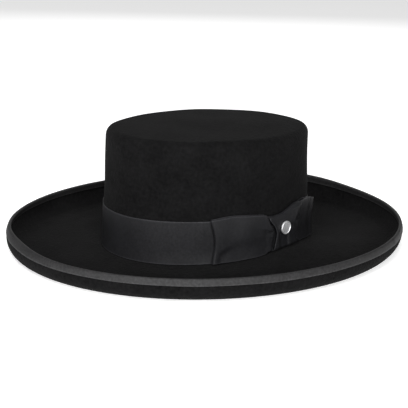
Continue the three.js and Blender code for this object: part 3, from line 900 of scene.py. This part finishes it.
def new_material(name):
    """A material with a bare Principled shader."""
    material = bpy.data.materials.new(name)
    material.use_nodes = True
    tree = material.node_tree
    tree.nodes.clear()
    shader = tree.nodes.new("ShaderNodeBsdfPrincipled")
    output = tree.nodes.new("ShaderNodeOutputMaterial")
    tree.links.new(shader.outputs[0], output.inputs[0])
    return material, tree, shader


def give_colour(tree, shader, colour, shade):
    """Feeds a shader's colour: a plain one, lighter or darker by a shade that changes over it."""
    scaled = add_node(tree, "ShaderNodeVectorMath", {0: colour, "Scale": shade}, operation="SCALE")
    tree.links.new(scaled.outputs[0], shader.inputs["Base Color"])


def give_surface(tree, shader, specks, rough_gain, rough_base, height, strength, distance):
    """Feeds a shader's roughness, a base that the specks add to, and a bump of a height."""
    rough = calculate(tree, "MULTIPLY_ADD", specks, rough_gain, rough_base)
    tree.links.new(rough, shader.inputs["Roughness"])
    bump = add_node(tree, "ShaderNodeBump", {"Strength": strength, "Distance": distance, "Height": height})
    tree.links.new(bump.outputs[0], shader.inputs["Normal"])


def felt_material(name, colour):
    """Black wool felt: a matt base, a soft sheen from its nap, brushed patches and fine fibres."""
    material, tree, shader = new_material(name)
    shade, specks = vary(tree, object_place(tree), patch_size=40.0, patch_strength=0.9,
                         speck_size=330.0, speck_strength=1.7)
    give_colour(tree, shader, colour, shade)
    give_surface(tree, shader, specks, 0.12, 0.84, specks, strength=0.8, distance=0.0012)
    shader.inputs["Specular IOR Level"].default_value = 0.02
    shader.inputs["Sheen Weight"].default_value = 0.015
    shader.inputs["Sheen Roughness"].default_value = 0.5
    return material


def ribbon_material(name, colour, width):
    """Black grosgrain: fine ribs across the ribbon, a gentle gloss on them and a soft change of tone."""
    look = RIBBONS[name]
    material, tree, shader = new_material(name)
    along = tree.nodes.new("ShaderNodeUVMap")
    along.uv_map = "ribbon"
    # The ribs group also lightens each edge of the ribbon: a lighter selvedge with a painted highlight
    # along it
    height, rib_shade = add_node(tree, "ShaderNodeGroup", {
        "Ribbon place": along.outputs[0], "Ribs in a metre": look["ribs"], "Unevenness": 0.2,
        "Ribbon width": width, "Selvedge and highlight": look["selvedge_and_highlight"],
    }, node_tree=once(bpy.data.node_groups, "Ribbon ribs", ribs_group)).outputs
    shade, specks = vary(tree, object_place(tree), patch_size=45.0, patch_strength=0.5,
                         speck_size=520.0, speck_strength=look["specks"])
    give_colour(tree, shader, colour, calculate(tree, "MULTIPLY", rib_shade, shade))
    rough_base = look["roughness"] - 0.07
    give_surface(tree, shader, specks, 0.14, rough_base, height, strength=0.3, distance=0.00012)
    shader.inputs["Specular IOR Level"].default_value = look["gloss"]
    shader.inputs["Sheen Weight"].default_value = 0.002
    shader.inputs["Sheen Roughness"].default_value = 0.35
    return material


def metal_material(name, colour):
    """Matt silver-coloured metal: fine brush lines and a slight dulling in patches."""
    material, tree, shader = new_material(name)
    brushed = stretched(tree, object_place(tree), (1.0, 1.0, 8.0))
    shade, specks = vary(tree, brushed, patch_size=260.0, patch_strength=0.3,
                         speck_size=2400.0, speck_strength=0.2)
    give_colour(tree, shader, colour, shade)
    give_surface(tree, shader, specks, 0.16, 0.5, specks, strength=0.25, distance=0.00003)
    shader.inputs["Metallic"].default_value = 1.0
    return material


def stage_material(level, glow):
    """Plain pale floor with a hardly visible unevenness, lit a little from within as a backdrop is."""
    material, tree, shader = new_material("Pale floor")
    unevenness = noise(tree, object_place(tree), 3.0, 3.0, 0.5)
    shade = calculate(tree, "MULTIPLY_ADD", unevenness, 0.02, 0.99)
    give_colour(tree, shader, (level,) * 3, shade)
    shader.inputs["Roughness"].default_value = 0.9
    shader.inputs["Emission Color"].default_value = (1.0, 1.0, 1.0, 1.0)
    shader.inputs["Emission Strength"].default_value = glow
    return material


def way_towards(turn, rise):
    """The direction at a turn from the hat's front and a rise above level."""
    return Vector((math.sin(turn) * math.cos(rise), -math.cos(turn) * math.cos(rise), math.sin(rise)))


# Operators


class HAT_OT_felt_body(bpy.types.Operator):
    """Makes the crown and brim, one piece of felt with its soft hollows and rolled edge"""

    bl_idname = "hat.felt_body"
    bl_label = "Felt body"

    def execute(self, context):
        rows, colour = felt_body_rows(context.scene.hat_sizes), context.scene.hat_colours.felt
        material = once(bpy.data.materials, "Black felt", felt_material, colour)
        dress(ring_piece("felt_body", rows, material, poles=True), "felt_shell")
        return {"FINISHED"}


class HAT_OT_edge_ribbon(bpy.types.Operator):
    """Makes the ribbon folded over the brim's edge"""

    bl_idname = "hat.edge_ribbon"
    bl_label = "Edge ribbon"

    def execute(self, context):
        made, colour = binding_rows(context.scene.hat_sizes), context.scene.hat_colours.edge
        closed_ribbon("edge_ribbon", "brim_binding", made, "Edge grosgrain", colour)
        return {"FINISHED"}


class HAT_OT_band_ribbon(bpy.types.Operator):
    """Makes the ribbon round the foot of the crown"""

    bl_idname = "hat.band_ribbon"
    bl_label = "Band ribbon"

    def execute(self, context):
        made, colour = band_rows(context.scene.hat_sizes), context.scene.hat_colours.band
        closed_ribbon("band_ribbon", "hat_band", made, "Band grosgrain", colour)
        return {"FINISHED"}


class HAT_OT_bow(bpy.types.Operator):
    """Makes the bow's two loops and the knot that holds them"""

    bl_idname = "hat.bow"
    bl_label = "Bow"

    def execute(self, context):
        sizes, colour = context.scene.hat_sizes, context.scene.hat_colours.band
        material = once(bpy.data.materials, "Bow grosgrain", ribbon_material, colour, BOW_WIDTH * MM)
        for loop in LOOPS:
            rows, uv = loop_rows(sizes, loop)
            dress(ring_piece(loop["name"], rows, material, caps=True, uv=uv), loop["node"])
        rows, uv = knot_rows(sizes)
        dress(ring_piece("knot", rows, material, closed_rows=True, uv=uv), "bow_knot")
        return {"FINISHED"}


class HAT_OT_pin(bpy.types.Operator):
    """Makes the round pin with its raised rim"""

    bl_idname = "hat.pin"
    bl_label = "Round pin"

    def execute(self, context):
        colour = context.scene.hat_colours.metal
        material = once(bpy.data.materials, "Pin metal", metal_material, colour)
        piece = ring_piece("round_pin", pin_rows(context.scene.hat_sizes), material, sharp=35, poles=True)
        dress(piece, "bow_pin")
        return {"FINISHED"}


class HAT_OT_stage(bpy.types.Operator):
    """Makes the floor, the lights and the camera"""

    bl_idname = "hat.stage"
    bl_label = "Floor, lights and camera"

    def execute(self, context):
        scene, look = context.scene, context.scene.hat_stage
        mesh = bpy.data.meshes.new("floor")
        far, low = FLOOR_HALF, -FLOOR_DROP
        corners = [(-far, -far, low), (far, -far, low), (far, far, low), (-far, far, low)]
        mesh.from_pydata(corners, [], [(0, 1, 2, 3)])
        mesh.materials.append(stage_material(look.floor, look.floor_glow))
        floor = bpy.data.objects.new("floor", mesh)
        scene.collection.objects.link(floor)

        world = bpy.data.worlds.new("Soft room")
        world.use_nodes = True
        background = world.node_tree.nodes["Background"]
        background.inputs[0].default_value = (1.0, 1.0, 1.0, 1.0)
        background.inputs[1].default_value = look.room
        scene.world = world
        scene.view_settings.view_transform = "Standard"

        aim = Vector((0.0, 0.0, LIGHTS_AIM))
        for name, side, height, distance, size, power in (
            ("Key light", 40.0, 55.0, 1.9, 1.0, look.key_power),
            ("Front light", 66.0, 18.0, 1.9, 0.6, look.front_power * 0.55),
            ("Side light", 26.0, 12.0, 1.9, 0.8, look.front_power * 0.45),
            ("Back light", 233.0, 30.0, 2.2, 1.6, look.back_power),
        ):
            lamp = bpy.data.lights.new(name, "AREA")
            lamp.size, lamp.energy = size, power
            light = bpy.data.objects.new(name, lamp)
            way = way_towards(math.radians(side), math.radians(height))
            light.location = aim + way * distance
            light.rotation_euler = way.to_track_quat("Z", "Y").to_euler()
            scene.collection.objects.link(light)

        self.place_camera(scene, look)
        return {"FINISHED"}

    def place_camera(self, scene, look):
        """Sets the camera at the fitted angles, rolled a little, and aimed a little below and left of the
        hat's middle. Its lens follows from the pixels that a millimetre takes at its distance."""
        back = way_towards(look.camera_side, look.camera_height)
        right = way_towards(look.camera_side + math.pi / 2, 0.0)
        up = back.cross(right)
        aim = Vector((0.0, 0.0, AIM_HEIGHT + BRIM_LIFT * MM)) - right * AIM_LEFT - up * AIM_DOWN
        data = bpy.data.cameras.new("Camera")
        data.sensor_width = SENSOR_WIDTH
        data.lens = SENSOR_WIDTH * PIXELS_PER_MM * CAMERA_DISTANCE / MM / PICTURE_WIDTH
        camera = bpy.data.objects.new("Camera", data)
        across = right * math.cos(CAMERA_ROLL) + up * math.sin(CAMERA_ROLL)
        upward = up * math.cos(CAMERA_ROLL) - right * math.sin(CAMERA_ROLL)
        turned_to = Matrix((across, upward, back)).transposed().to_4x4()
        camera.matrix_world = Matrix.Translation(aim + back * CAMERA_DISTANCE) @ turned_to
        scene.collection.objects.link(camera)
        scene.camera = camera


class HAT_PT_panel(bpy.types.Panel):
    """Lists the hat's pieces and their sizes and colours"""

    bl_idname = "HAT_PT_panel"
    bl_label = "Felt hat"
    bl_space_type = "VIEW_3D"
    bl_region_type = "UI"
    bl_category = "Hat"

    def draw(self, context):
        layout = self.layout
        for group in (context.scene.hat_sizes, context.scene.hat_colours, context.scene.hat_stage):
            box = layout.box()
            for name in group.__annotations__:
                box.prop(group, name)
        for operator in OPERATORS:
            layout.operator(operator.bl_idname)


GROUPS = (HatSizes, HatColours, StageLook)
OPERATORS = (
    HAT_OT_felt_body,
    HAT_OT_edge_ribbon,
    HAT_OT_band_ribbon,
    HAT_OT_bow,
    HAT_OT_pin,
    HAT_OT_stage,
)


def register():
    """Registers the classes and gives the scene its settings."""
    for item in (*GROUPS, *OPERATORS, HAT_PT_panel):
        bpy.utils.register_class(item)
    bpy.types.Scene.hat_sizes = bpy.props.PointerProperty(type=HatSizes)
    bpy.types.Scene.hat_colours = bpy.props.PointerProperty(type=HatColours)
    bpy.types.Scene.hat_stage = bpy.props.PointerProperty(type=StageLook)


def unregister():
    """Takes back what register did."""
    del bpy.types.Scene.hat_stage
    del bpy.types.Scene.hat_colours
    del bpy.types.Scene.hat_sizes
    for item in reversed((*GROUPS, *OPERATORS, HAT_PT_panel)):
        bpy.utils.unregister_class(item)


def main():
    """Makes every piece in order."""
    register()
    bpy.ops.hat.felt_body()
    bpy.ops.hat.edge_ribbon()
    bpy.ops.hat.band_ribbon()
    bpy.ops.hat.bow()
    bpy.ops.hat.pin()
    bpy.ops.hat.stage()


if __name__ == "__main__":
    main()
